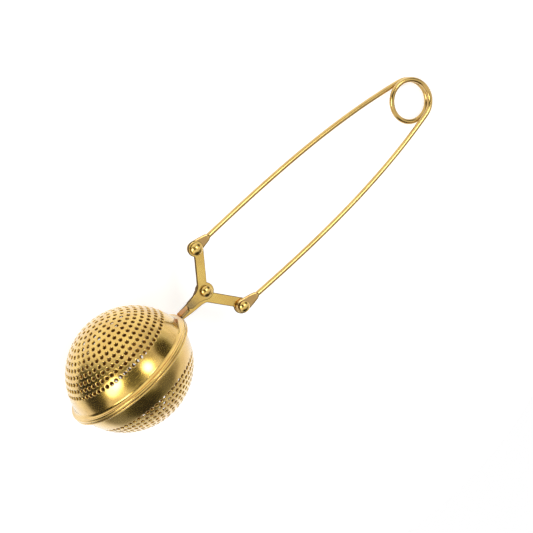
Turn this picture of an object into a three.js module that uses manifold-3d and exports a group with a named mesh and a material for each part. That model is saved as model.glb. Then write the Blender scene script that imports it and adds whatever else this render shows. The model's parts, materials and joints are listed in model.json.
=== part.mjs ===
// Tea infuser with a squeeze handle.
// Two perforated half balls are welded to a pair of flat levers that cross at one pivot rivet.
// A single sprung wire, wound into a coil at its middle, is riveted to the free arm of each lever:
// squeezing its two legs together swings the half balls apart, and the spring snaps them shut.
//
// Working frame, before the tool is laid down: the pivot is the origin, +X runs from the ball to
// the coil, +Y points to the upper half ball and +Z is the pivot axis. Lengths are millimetres.

import * as THREE from 'three';
import { mergeVertices } from 'three/addons/utils/BufferGeometryUtils.js';
import Module from 'manifold-3d';

// ---- ball ----
const BALL_RADIUS = 22.5;
const BALL_CAP_SHIFT = 2.4; // each cap's centre lies this far beyond the parting plane
const SHEET = 0.6;
const PIVOT_TO_BALL = 36;
const PARTING_GAP = 0.15; // from the parting plane to each rim
const BEAD_RADIUS = 0.5;
const BEAD_CENTRE_RADIUS = 23.4;
const LIP_OUTER_RADIUS = 23.9;
const LIP_THICKNESS = 0.75;
const LIP_CORNER = 0.25;
const BEAD_FILLET = 1.5;
const LIP_FILLET = 0.7;
const FILLET_MIDDLE = 0.25; // share of the fillet's height and reach at its middle point
const BALL_SEGMENTS = 48;
const CAP_STEPS = 12;

// ---- levers ----
// Outlines are drawn with the lever's own half ball towards +Y.
const PLATE = 1.15;
const PLATE_GAP = 0.15; // from the working plane to each plate
const ARM_END_RADIUS = 2.7;
const LUG_RADIUS = 2.95;
const LUG_START = 1.25 * Math.PI;
const UPPER_LEVER = {
  rivet: { x: 7, y: 12.8 }, // pivot to leg rivet
  bearing: 0.928,
  armWidth: 3.3,
  elbow: { x: -1.2, y: 2.84 },
  neckOuter: { x: -2.9, y: 2.05 },
  cutOuter: { x: -10.3, y: 1.45 },
  cutInner: { x: -7, y: -1.15 },
  neckInner: { x: -4.1, y: -1.25 },
};
const LOWER_LEVER = {
  rivet: { x: 6.2, y: 13.6 },
  bearing: 0.951,
  armWidth: 3.5,
  elbow: { x: -2, y: 3.57 },
  neckOuter: { x: -3.6, y: 3.1 },
  cutOuter: { x: -10.5, y: 2.1 },
  cutInner: { x: -7, y: -1.15 },
  neckInner: { x: -4.1, y: -1.25 },
};
const TAB_BACK = -7.9;
const TAB_HEIGHT = 4.4;
const TAB_RIM_GAP = 0.4;
const ROUND_STEPS = 10;

// ---- rivets ----
const SHANK_RADIUS = 1;
const SHANK_CLEARANCE = 0.3;
const LOOSE_SHANK_RADIUS = 0.75;
const LOOSE_EYE_RADIUS = 1.4;
const HEAD_GAP = 0.3;
const PIVOT_HEAD_RADIUS = 1.95;
const UPPER_HEAD_RADIUS = 2.1;
const LOWER_HEAD_RADIUS = 1.9;
const HEAD_HEIGHT = 1.5;
const TAIL_HEIGHT = 0.9;
const DOME_STEPS = 6;
const RIVET_SEGMENTS = 20;

// ---- handle wire ----
const WIRE_RADIUS = 0.9;
const COIL_CENTRE = { x: 99.6, y: -6.3 };
const COIL_RADIUS = 7.35;
const COIL_PITCH = 2.3;
const COIL_MIDDLE = 1.5 * Math.PI; // wound angle at which the two leg solids meet
const COIL_SPLIT_GAP = 0.3;
const COIL_STEP = Math.PI / 10;
const EYE_THICKNESS = 1.05;
const EYE_END_RADIUS = 2.4;
const EYE_HALF_WIDTH = 1.75;
const EYE_NECK = 3.9;
const EYE_LENGTH = 6.9;
const WIRE_OVERLAP = 1.6;
const LEG_STEPS = 8;
const STEPS_PER_POINT = 2;
const WIRE_ARC_STEPS = 5; // sides of the wire in half a turn
// Slopes of each leg at its eye and at the coil, and the wound angle where the coil takes over.
const UPPER_LEG = { lean: -0.1, leave: -0.05, arrive: -0.27, windStart: 0.26 };
const LOWER_LEG = { lean: -0.12, leave: -0.09, arrive: 0.16, windStart: 0.16 };

const WELD_TOLERANCE = 1e-4; // points closer than this are one point of a solid

// ---- finish ----
const SATIN_GOLD = { color: 0xd8b45e, roughness: 0.32, metalness: 1 };
const BALL_GOLD = { color: 0xdcb765, roughness: 0.26, metalness: 1 };
const WIRE_GOLD = { color: 0xdab55c, roughness: 0.22, metalness: 1 };
const RIVET_GOLD = { color: 0xd2ac58, roughness: 0.12, metalness: 1 };

const wasm = await Module();
wasm.setup();

function solidOf(geometry) {
  const bare = geometry.clone();
  bare.deleteAttribute('normal');
  bare.deleteAttribute('uv');
  const merged = mergeVertices(bare, WELD_TOLERANCE);
  return new wasm.Manifold(new wasm.Mesh({
    numProp: 3,
    vertProperties: new Float32Array(merged.attributes.position.array),
    triVerts: new Uint32Array(merged.index.array),
  }));
}

function geometryOf(solid) {
  const mesh = solid.getMesh();
  const geometry = new THREE.BufferGeometry();
  geometry.setAttribute('position', new THREE.BufferAttribute(mesh.vertProperties, 3));
  geometry.setIndex(new THREE.BufferAttribute(mesh.triVerts, 1));
  geometry.computeVertexNormals();
  return geometry;
}

function namedMesh(name, geometry, finish) {
  const mesh = new THREE.Mesh(geometry, new THREE.MeshStandardMaterial(finish));
  mesh.name = name;
  return mesh;
}

// ---- half balls ----
// Profiles are (radius, height) pairs. They run from the pole down the inside of the shell, round
// the rim and back up the outside, for the half that lies on the positive side of the plane.
function capRadiusAt(height, radius) {
  return Math.sqrt(radius ** 2 - (height + BALL_CAP_SHIFT) ** 2);
}

function capArc(radius, lowest) {
  const rimAngle = Math.asin((lowest + BALL_CAP_SHIFT) / radius);
  const points = [];
  for (let step = 0; step <= CAP_STEPS; step += 1) {
    const angle = rimAngle + (Math.PI / 2 - rimAngle) * (step / CAP_STEPS);
    const reach = step === CAP_STEPS ? 0 : radius * Math.cos(angle);
    points.push(new THREE.Vector2(reach, radius * Math.sin(angle) - BALL_CAP_SHIFT));
  }
  return points;
}

function beadRim() {
  const height = PARTING_GAP + BEAD_RADIUS;
  const points = [];
  for (let step = 0; step <= ROUND_STEPS; step += 1) {
    const angle = -Math.PI / 2 + Math.PI * (step / ROUND_STEPS);
    points.push(new THREE.Vector2(
      BEAD_CENTRE_RADIUS + BEAD_RADIUS * Math.cos(angle),
      height + BEAD_RADIUS * Math.sin(angle),
    ));
  }
  return points;
}

function lipRim() {
  const inset = LIP_OUTER_RADIUS - LIP_CORNER;
  return [
    new THREE.Vector2(inset, PARTING_GAP),
    new THREE.Vector2(LIP_OUTER_RADIUS, PARTING_GAP + LIP_CORNER),
    new THREE.Vector2(LIP_OUTER_RADIUS, PARTING_GAP + LIP_THICKNESS - LIP_CORNER),
    new THREE.Vector2(inset, PARTING_GAP + LIP_THICKNESS),
  ];
}

function halfBall(rim, filletHeight) {
  const rimTop = rim[rim.length - 1];
  const outerStart = rimTop.y + filletHeight;
  const filletMiddle = new THREE.Vector2(
    THREE.MathUtils.lerp(capRadiusAt(outerStart, BALL_RADIUS), rimTop.x, FILLET_MIDDLE),
    rimTop.y + filletHeight * FILLET_MIDDLE,
  );
  const outline = [
    ...capArc(BALL_RADIUS - SHEET, PARTING_GAP).reverse(),
    ...rim,
    filletMiddle,
    ...capArc(BALL_RADIUS, outerStart),
  ];
  return new THREE.LatheGeometry(outline, BALL_SEGMENTS);
}

// ---- levers ----
// The arm's coil-side edge is tangent to its round end, whose far side bulges past the other edge.
function leverShape(lever) {
  const { rivet, bearing, armWidth } = lever;
  const edgeOffset = ARM_END_RADIUS + rivet.x * Math.sin(bearing) - rivet.y * Math.cos(bearing);
  const lugEnd = bearing - Math.asin(edgeOffset / LUG_RADIUS);
  const bulge = Math.asin((armWidth - ARM_END_RADIUS) / ARM_END_RADIUS);
  const shape = new THREE.Shape();
  shape.moveTo(lever.elbow.x, lever.elbow.y);
  shape.lineTo(lever.neckOuter.x, lever.neckOuter.y);
  shape.lineTo(lever.cutOuter.x, lever.cutOuter.y);
  shape.lineTo(lever.cutInner.x, lever.cutInner.y);
  shape.lineTo(lever.neckInner.x, lever.neckInner.y);
  shape.absarc(0, 0, LUG_RADIUS, LUG_START, 2 * Math.PI + lugEnd, false);
  shape.absarc(
    rivet.x,
    rivet.y,
    ARM_END_RADIUS,
    bearing - Math.PI / 2,
    bearing + Math.PI - bulge,
    false,
  );
  shape.closePath();
  return shape;
}

function roundHole(x, y, radius) {
  const hole = new THREE.Path();
  hole.absarc(x, y, radius, 0, 2 * Math.PI, true);
  return hole;
}

// the x of the round rim's edge, with its gap, at a height above the working plane
function rimEdge(height) {
  const reach = LIP_OUTER_RADIUS + TAB_RIM_GAP;
  return Math.sqrt(reach ** 2 - height ** 2) - PIVOT_TO_BALL;
}

// The tab is the plate's own edge bent up. It ends just short of the rim of its half ball.
function tab(outerFace) {
  const side = new THREE.Shape();
  side.moveTo(rimEdge(PLATE_GAP), PLATE_GAP);
  side.lineTo(TAB_BACK, PLATE_GAP);
  side.lineTo(TAB_BACK, PLATE_GAP + PLATE);
  side.lineTo(TAB_BACK - PLATE, TAB_HEIGHT);
  side.lineTo(rimEdge(TAB_HEIGHT), TAB_HEIGHT);
  side.closePath();
  const geometry = new THREE.ExtrudeGeometry(side, { depth: PLATE, bevelEnabled: false });
  geometry.rotateX(Math.PI / 2);
  geometry.translate(0, outerFace, 0);
  return geometry;
}

function leverPlate(lever) {
  const shape = leverShape(lever);
  const holeRadius = SHANK_RADIUS + SHANK_CLEARANCE;
  shape.holes.push(roundHole(0, 0, holeRadius));
  shape.holes.push(roundHole(lever.rivet.x, lever.rivet.y, holeRadius));
  const plate = new THREE.ExtrudeGeometry(shape, {
    depth: PLATE,
    bevelEnabled: false,
    curveSegments: ROUND_STEPS,
  });
  plate.translate(0, 0, PLATE_GAP);
  return geometryOf(solidOf(plate).add(solidOf(tab(lever.cutOuter.y))));
}

// ---- rivets ----
function dome(points, baseHeight, radius, rise) {
  for (let step = 0; step <= DOME_STEPS; step += 1) {
    const angle = (Math.PI / 2) * (step / DOME_STEPS);
    const reach = step === DOME_STEPS ? 0 : radius * Math.cos(angle);
    points.push(new THREE.Vector2(reach, baseHeight + rise * Math.sin(angle)));
  }
}

function rivet(headRadius, shankRadius) {
  const seat = PLATE_GAP + PLATE + HEAD_GAP;
  const tail = [];
  dome(tail, seat, headRadius - HEAD_GAP, TAIL_HEIGHT);
  const outline = tail.reverse().map((point) => new THREE.Vector2(point.x, -point.y));
  outline.push(new THREE.Vector2(shankRadius, -seat));
  outline.push(new THREE.Vector2(shankRadius, seat));
  dome(outline, seat, headRadius, HEAD_HEIGHT);
  const geometry = new THREE.LatheGeometry(outline, RIVET_SEGMENTS);
  geometry.rotateX(Math.PI / 2);
  return geometry;
}

// ---- handle wire ----
// The wound angle starts at the coil's +Y side and grows clockwise as seen from +Z.
function coilPoint(angle) {
  return new THREE.Vector3(
    COIL_CENTRE.x + COIL_RADIUS * Math.sin(angle),
    COIL_CENTRE.y + COIL_RADIUS * Math.cos(angle),
    COIL_PITCH * ((angle - COIL_MIDDLE) / (2 * Math.PI)),
  );
}

function legPoints(start, leg, coilStart) {
  const span = coilStart.x - start.x;
  const points = [];
  for (let step = 0; step < LEG_STEPS; step += 1) {
    const along = step / LEG_STEPS;
    const left = 1 - along;
    const blend = THREE.MathUtils.smoothstep(along, 0, 1);
    const rise = leg.leave * along * left ** 2 - leg.arrive * along ** 2 * left;
    points.push(new THREE.Vector3(
      start.x + span * along,
      start.y + (coilStart.y - start.y) * blend + span * rise,
      start.z + (coilStart.z - start.z) * along,
    ));
  }
  return points;
}

function wireAlong(points) {
  const section = new THREE.Shape();
  section.absarc(0, 0, WIRE_RADIUS, 0, 2 * Math.PI, false);
  return new THREE.ExtrudeGeometry(section, {
    steps: STEPS_PER_POINT * points.length,
    curveSegments: WIRE_ARC_STEPS,
    extrudePath: new THREE.CatmullRomCurve3(points, false, 'centripetal'),
  });
}

// the wire's flattened end, drawn along +X from the rivet
function eye(holeRadius) {
  const shape = new THREE.Shape();
  const bearing = Math.atan2(EYE_HALF_WIDTH, EYE_NECK);
  const tangent = bearing + Math.acos(EYE_END_RADIUS / Math.hypot(EYE_HALF_WIDTH, EYE_NECK));
  shape.absarc(0, 0, EYE_END_RADIUS, tangent, 2 * Math.PI - tangent, false);
  shape.lineTo(EYE_NECK, -EYE_HALF_WIDTH);
  shape.lineTo(EYE_LENGTH, -WIRE_RADIUS);
  shape.lineTo(EYE_LENGTH, WIRE_RADIUS);
  shape.lineTo(EYE_NECK, EYE_HALF_WIDTH);
  shape.closePath();
  shape.holes.push(roundHole(0, 0, holeRadius));
  const geometry = new THREE.ExtrudeGeometry(shape, {
    depth: EYE_THICKNESS,
    bevelEnabled: false,
    curveSegments: ROUND_STEPS,
  });
  geometry.translate(0, 0, PLATE_GAP);
  return geometry;
}

function handleLeg(side, rivetPlace, leg, holeRadius) {
  const pad = eye(holeRadius);
  pad.rotateZ(leg.lean);
  if (side > 0) pad.translate(0, 0, -EYE_THICKNESS - 2 * PLATE_GAP);
  pad.translate(rivetPlace.x, side * rivetPlace.y, 0);

  const reach = EYE_LENGTH - WIRE_OVERLAP;
  const start = new THREE.Vector3(
    rivetPlace.x + reach * Math.cos(leg.lean),
    side * rivetPlace.y + reach * Math.sin(leg.lean),
    -side * (PLATE_GAP + EYE_THICKNESS / 2),
  );
  const windFirst = side > 0 ? leg.windStart : 2 * COIL_MIDDLE - leg.windStart;
  const windLast = COIL_MIDDLE - side * (COIL_SPLIT_GAP / (2 * COIL_RADIUS));
  const turns = Math.ceil(Math.abs(windLast - windFirst) / COIL_STEP);
  const points = legPoints(start, leg, coilPoint(windFirst));
  for (let step = 0; step <= turns; step += 1) {
    points.push(coilPoint(windFirst + (windLast - windFirst) * (step / turns)));
  }
  return geometryOf(solidOf(pad).add(solidOf(wireAlong(points))));
}

// ---- the tool ----
const tool = new THREE.Group();

const upperBasket = namedMesh('upper_basket', halfBall(beadRim(), BEAD_FILLET), BALL_GOLD);
upperBasket.position.x = -PIVOT_TO_BALL;
tool.add(upperBasket);

const lowerBasket = namedMesh('lower_basket', halfBall(lipRim(), LIP_FILLET), BALL_GOLD);
lowerBasket.position.x = -PIVOT_TO_BALL;
lowerBasket.rotation.x = Math.PI;
tool.add(lowerBasket);

tool.add(namedMesh('upper_lever', leverPlate(UPPER_LEVER), SATIN_GOLD));
const lowerLever = namedMesh('lower_lever', leverPlate(LOWER_LEVER), SATIN_GOLD);
lowerLever.rotation.x = Math.PI;
tool.add(lowerLever);

const upperLeg = handleLeg(1, UPPER_LEVER.rivet, UPPER_LEG, SHANK_RADIUS + SHANK_CLEARANCE);
tool.add(namedMesh('handle_upper_leg', upperLeg, WIRE_GOLD));
const lowerLeg = handleLeg(-1, LOWER_LEVER.rivet, LOWER_LEG, LOOSE_EYE_RADIUS);
tool.add(namedMesh('handle_lower_leg', lowerLeg, WIRE_GOLD));

tool.add(namedMesh('pivot_rivet', rivet(PIVOT_HEAD_RADIUS, SHANK_RADIUS), RIVET_GOLD));
const upperRivet = namedMesh('upper_rivet', rivet(UPPER_HEAD_RADIUS, SHANK_RADIUS), RIVET_GOLD);
upperRivet.position.set(UPPER_LEVER.rivet.x, UPPER_LEVER.rivet.y, 0);
tool.add(upperRivet);
const lowerRivet = namedMesh('lower_rivet', rivet(LOWER_HEAD_RADIUS, LOOSE_SHANK_RADIUS), RIVET_GOLD);
lowerRivet.position.set(LOWER_LEVER.rivet.x, -LOWER_LEVER.rivet.y, 0);
tool.add(lowerRivet);

// Laid down: the tool tips about Y until the rim and the far side of the coil share one floor.
const coilFarDrop = COIL_PITCH / 2;
const ballToCoilEnd = PIVOT_TO_BALL + COIL_CENTRE.x + COIL_RADIUS;
const heightLost = LIP_OUTER_RADIUS - WIRE_RADIUS;
const slant = Math.hypot(ballToCoilEnd, coilFarDrop);
tool.rotation.y = Math.asin(heightLost / slant) - Math.atan2(coilFarDrop, ballToCoilEnd);

const infuser = new THREE.Group();
infuser.add(tool);
infuser.updateMatrixWorld(true);
const extent = new THREE.Box3().setFromObject(infuser, true);
const middle = extent.getCenter(new THREE.Vector3());
tool.position.set(-middle.x, -middle.y, -extent.min.z);

export default infuser;
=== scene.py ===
"""Looks of the gold tea infuser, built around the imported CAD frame.

Shapes are drawn in the tool's own millimetre frame: the pivot rivet is the origin, +X runs from the
ball to the coil, +Y points to the upper half ball and +Z is the pivot axis. They are then put into
the row frame with the pivot's place and axis from the record.
"""

import json
import math

import bmesh
import bpy
import numpy as np
from mathutils import Matrix, Vector
from mathutils.geometry import delaunay_2d_cdt


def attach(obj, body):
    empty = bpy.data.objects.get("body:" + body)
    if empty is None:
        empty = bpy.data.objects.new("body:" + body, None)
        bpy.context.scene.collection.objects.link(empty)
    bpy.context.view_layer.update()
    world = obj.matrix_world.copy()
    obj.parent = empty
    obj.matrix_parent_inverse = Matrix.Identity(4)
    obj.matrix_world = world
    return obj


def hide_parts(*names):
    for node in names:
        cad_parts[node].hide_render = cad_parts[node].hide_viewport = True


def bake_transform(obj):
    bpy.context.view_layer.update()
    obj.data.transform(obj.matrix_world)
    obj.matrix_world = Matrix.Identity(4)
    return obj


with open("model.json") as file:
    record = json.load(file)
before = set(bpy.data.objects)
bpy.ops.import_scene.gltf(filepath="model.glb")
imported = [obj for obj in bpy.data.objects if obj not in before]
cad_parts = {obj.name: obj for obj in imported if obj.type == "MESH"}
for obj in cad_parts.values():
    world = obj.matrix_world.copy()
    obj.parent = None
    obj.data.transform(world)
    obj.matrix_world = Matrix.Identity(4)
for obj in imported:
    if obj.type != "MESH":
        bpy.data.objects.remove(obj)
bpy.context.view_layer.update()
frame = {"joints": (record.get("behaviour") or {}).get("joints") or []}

# ---------------- the tool's frame
MM = 0.001
JOINTS = {joint["name"]: joint for joint in frame["joints"]}
PIVOT = np.array(JOINTS["lower_half_swing"]["pos_m"], float)
AXIS_Z = np.array(JOINTS["lower_half_swing"]["axis"], float)
AXIS_Z /= np.linalg.norm(AXIS_Z)
AXIS_Y = np.array((0.0, 1.0, 0.0))
AXIS_X = np.cross(AXIS_Y, AXIS_Z)
TOOL = np.array((AXIS_X, AXIS_Y, AXIS_Z))


def to_row(points):
    """Tool millimetres to row metres."""
    return PIVOT + MM * (np.asarray(points, float) @ TOOL)


def turn_to_row(directions):
    return np.asarray(directions, float) @ TOOL


def from_row(point):
    """Row metres to tool millimetres."""
    return (np.asarray(point, float) - PIVOT) @ TOOL.T / MM


# ---------------- dimensions in millimetres
BALL_RADIUS = 22.5
BALL_CENTRE_X = -36.0
CAP_SHIFT = 2.4
CAP_CENTRE = (0.0, -CAP_SHIFT, 0.0)
SHEET = 0.5
LINING_MARGIN = 0.01
PARTING_GAP = 0.05
BEAD_RADIUS = 0.5
BEAD_CENTRE = (23.4, 0.65)
BEAD_CORNER = 0.25
BEAD_FILLET = 1.3
LIP_RADIUS = 23.9
LIP_THICKNESS = 0.72
LIP_ROUND = 0.22
LIP_FILLET = 0.35
BAND_SEGMENTS = 288
# steps of the rims' arcs
BAND_STEPS = 10
LINING_STEPS = 8
BEAD_STEPS = 12
BEAD_FILLET_STEPS = 7
LIP_STEPS = 4
CORNER_STEPS = 5

RING_COUNTS = (7, 13, 19, 25, 31, 37, 45, 51, 57, 63, 69)
RING_PHASES = (-1.5, 10.4, -2.1, 7.1, 1.8, -0.9, 2.4, 1.7, 1.9, 2.4, -1.75)
RING_START = 1.2
RING_STEP = 5.66
BAND_START = 66.5
LOWER_TURN = math.radians(18.2)
HOLE_SIDES = 16
# reach from the hole's middle, depth below the skin and slope in degrees, from the skin inwards
HOLE_EDGE = (
    (0.9, 0.0, 0.0),
    (0.8, 0.018, 14.0),
    (0.71, 0.055, 32.0),
    (0.64, 0.115, 55.0),
    (0.605, 0.2, 80.0),
    (0.6, SHEET, 90.0),
)

PLATE_LOW = 0.15
PLATE_HIGH = 1.3
ARM_END_RADIUS = 2.7
LUG_RADIUS = 2.95
LUG_START = 1.25 * math.pi
# outlines with the lever's own half ball towards +Y; the lower lever is turned over afterwards.
# the arm's bearing is in radians, and the tab slopes by so many millimetres of y for each of x
LEVERS = {
    1: {
        "rivet": (7.0, 12.8),
        "bearing": 0.928,
        "arm_width": 3.3,
        "elbow": (-1.2, 2.84),
        "neck_outer": (-2.9, 2.05),
        "tab_start": (-7.4, 1.5),
        "cut_outer": (-10.3, 1.45),
        "tab_slope": 0.0,
        "tab_sink": 0.2,
    },
    -1: {
        "rivet": (6.2, 13.6),
        "bearing": 0.951,
        "arm_width": 3.5,
        "elbow": (-2.0, 3.57),
        "neck_outer": (-3.6, 3.1),
        "tab_start": (-7.9, 2.57),
        "cut_outer": (-10.5, 2.1),
        "tab_slope": 0.18,
        "tab_sink": 1.3,
    },
}
CUT_INNER = (-7.0, -1.15)
NECK_INNER = (-4.1, -1.25)
TAB_BACK = -7.9
TAB_HEIGHT = 4.4
RIVET_HOLE = 1.3
EDGE_ROUND = 0.24
EDGE_STEPS = 5
DRILL_SIDES = 40
# the upturned tab's fillets, and how far its root and its top stand behind TAB_BACK
TAB_FILLET = 0.5
TAB_ROOT_FILLET = 0.9
TAB_TOP_FILLET = 0.7
TAB_ROOT_BACK = 0.12
TAB_ROOT_RISE = 0.35
TAB_TOP_BACK = 1.15
TAB_PROUD = 0.01

MITRE_LIMIT = 0.7
OUTLINE_STEP = 0.02
FLAT_TOLERANCE = 1e-7
JOIN_TOLERANCE = 0.01 * MM
# how squarely a face looks along the pivot axis: below it, a face is a cut edge
PLATE_FLATNESS = 0.97
# below it, a rivet's steep side takes the dark edge colour, painted shade round the head
RIVET_FLATNESS = 0.3
# how squarely a tab's broad face looks along +Y or -Y
TAB_FLATNESS = 0.8
EDGE_SLOT = 1
TAB_SLOT = 2
PLATE_CREASE = 40
RIVET_CREASE = 50
FULL_WEIGHT = 100

WIRE_RADIUS = 0.9
COIL_RADIUS = 7.35
COIL_PITCH = 2.3
COIL_CENTRE = from_row(JOINTS["coil_wind"]["pos_m"])
COIL_TURN = 3 * math.pi
EYE_HALF_THICKNESS = 0.525
EYE_Z = 0.675
WIRE_SIDES = 24


# ---------------- mesh helpers
def mesh_piece(name, points, faces, normals=None, materials=(), slots=None):
    """A piece from tool millimetres, smooth, with its own normals where they are given."""
    mesh = bpy.data.meshes.new(name)
    mesh.from_pydata(to_row(points).tolist(), [], [list(map(int, face)) for face in faces])
    mesh.validate()
    mesh.polygons.foreach_set("use_smooth", [True] * len(mesh.polygons))
    if normals is not None:
        mesh.normals_split_custom_set_from_vertices(turn_to_row(normals).tolist())
    piece = bpy.data.objects.new(name, mesh)
    bpy.context.scene.collection.objects.link(piece)
    for material in materials:
        mesh.materials.append(material)
    if slots is not None:
        mesh.polygons.foreach_set("material_index", slots)
    return piece


def apply_modifiers(piece):
    graph = bpy.context.evaluated_depsgraph_get()
    baked = bpy.data.meshes.new_from_object(piece.evaluated_get(graph))
    piece.modifiers.clear()
    piece.data = baked


def ring_faces(first, rows, sides):
    """Quads between rows of points, each row closed round."""
    return [
        (a + k, a + (k + 1) % sides, a + sides + (k + 1) % sides, a + sides + k)
        for a in range(first, first + (rows - 1) * sides, sides) for k in range(sides)
    ]


def lathe(profile, segments, first):
    """Points, normals and faces of a surface about Y, from rows of radius, height and normal."""
    turn = np.arange(segments) * (2 * math.pi / segments)
    cos, sin = np.cos(turn), np.sin(turn)
    points, normals = [], []
    for radius, height, out, up in profile:
        points.append(np.column_stack((radius * cos, np.full(segments, height), radius * sin)))
        normals.append(np.column_stack((out * cos, np.full(segments, up), out * sin)))
    faces = ring_faces(first, len(profile), segments)
    return np.vstack(points), np.vstack(normals), faces


# ---------------- half balls
def arc(centre, radius, start, end, steps, inward=False):
    """Lathe rows along a circle, angles in degrees from the outward radius towards up."""
    rows = []
    sign = -1 if inward else 1
    for k in range(steps + 1):
        a = math.radians(start + (end - start) * k / steps)
        rows.append((
            centre[0] + radius * math.cos(a),
            centre[1] + radius * math.sin(a),
            sign * math.cos(a),
            sign * math.sin(a),
        ))
    return rows


def degrees_of(vector):
    return math.degrees(math.atan2(vector[1], vector[0]))


def bead_profile():
    """From the band's start down the skin, over the concave fillet and round the rolled bead."""
    cap = CAP_CENTRE
    reach_cap = BALL_RADIUS + BEAD_FILLET
    reach_bead = BEAD_RADIUS + BEAD_FILLET
    gap = (BEAD_CENTRE[0] - cap[0], BEAD_CENTRE[1] - cap[1])
    distance = math.hypot(*gap)
    along = (reach_cap ** 2 - reach_bead ** 2 + distance ** 2) / (2 * distance)
    across = math.sqrt(reach_cap ** 2 - along ** 2)
    ux, uy = gap[0] / distance, gap[1] / distance
    fillet = (cap[0] + ux * along - uy * across, cap[1] + uy * along + ux * across)
    cap_angle = degrees_of((fillet[0] - cap[0], fillet[1] - cap[1]))
    bead_angle = degrees_of((fillet[0] - BEAD_CENTRE[0], fillet[1] - BEAD_CENTRE[1]))
    rows = arc(cap, BALL_RADIUS, 90 - BAND_START, cap_angle, BAND_STEPS)
    rows += arc(
        fillet, BEAD_FILLET, cap_angle + 180, bead_angle + 180, BEAD_FILLET_STEPS, inward=True,
    )[1:]
    rows += arc(BEAD_CENTRE, BEAD_RADIUS, bead_angle, 0, BEAD_STEPS)[1:]
    edge = (BEAD_CENTRE[0] + BEAD_RADIUS - BEAD_CORNER, PARTING_GAP + BEAD_CORNER)
    rows += arc(edge, BEAD_CORNER, 0, -90, CORNER_STEPS)
    return rows


def lip_profile():
    """From the band's start down the skin and round the flat lip."""
    cap = CAP_CENTRE
    top = PARTING_GAP + LIP_THICKNESS
    fillet_y = top + LIP_FILLET
    fillet_x = math.sqrt((BALL_RADIUS + LIP_FILLET) ** 2 - (fillet_y + CAP_SHIFT) ** 2)
    fillet = (fillet_x, fillet_y)
    cap_angle = degrees_of((fillet[0] - cap[0], fillet[1] - cap[1]))
    rows = arc(cap, BALL_RADIUS, 90 - BAND_START, cap_angle, BAND_STEPS)
    rows += arc(fillet, LIP_FILLET, cap_angle + 180, 270, CORNER_STEPS, inward=True)[1:]
    corner = LIP_RADIUS - LIP_ROUND
    rows += arc((corner, top - LIP_ROUND), LIP_ROUND, 90, 0, LIP_STEPS)
    rows += arc((corner, PARTING_GAP + LIP_ROUND), LIP_ROUND, 0, -90, LIP_STEPS)
    return rows


def cap_direction(polar, turn):
    return np.array((
        math.sin(polar) * math.cos(turn),
        math.cos(polar),
        math.sin(polar) * math.sin(turn),
    ))


def hole_directions():
    directions = [cap_direction(0.0, 0.0)]
    for ring, (count, phase) in enumerate(zip(RING_COUNTS, RING_PHASES), start=1):
        polar = math.radians(RING_START + RING_STEP * ring)
        for k in range(count):
            turn = math.radians((180 + 360 * k) / count - phase)
            directions.append(cap_direction(polar, turn))
    return np.array(directions)


def hole_ring(centre, reach, radius):
    """Directions of a circle's points about a hole's middle, and their ways out from it."""
    side = np.cross(centre, (0.0, 0.0, 1.0))
    side /= np.linalg.norm(side)
    other = np.cross(centre, side)
    spread = reach / radius
    turn = np.arange(HOLE_SIDES) * (2 * math.pi / HOLE_SIDES)
    outwards = np.cos(turn)[:, None] * side + np.sin(turn)[:, None] * other
    return math.cos(spread) * centre + math.sin(spread) * outwards, outwards


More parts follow.
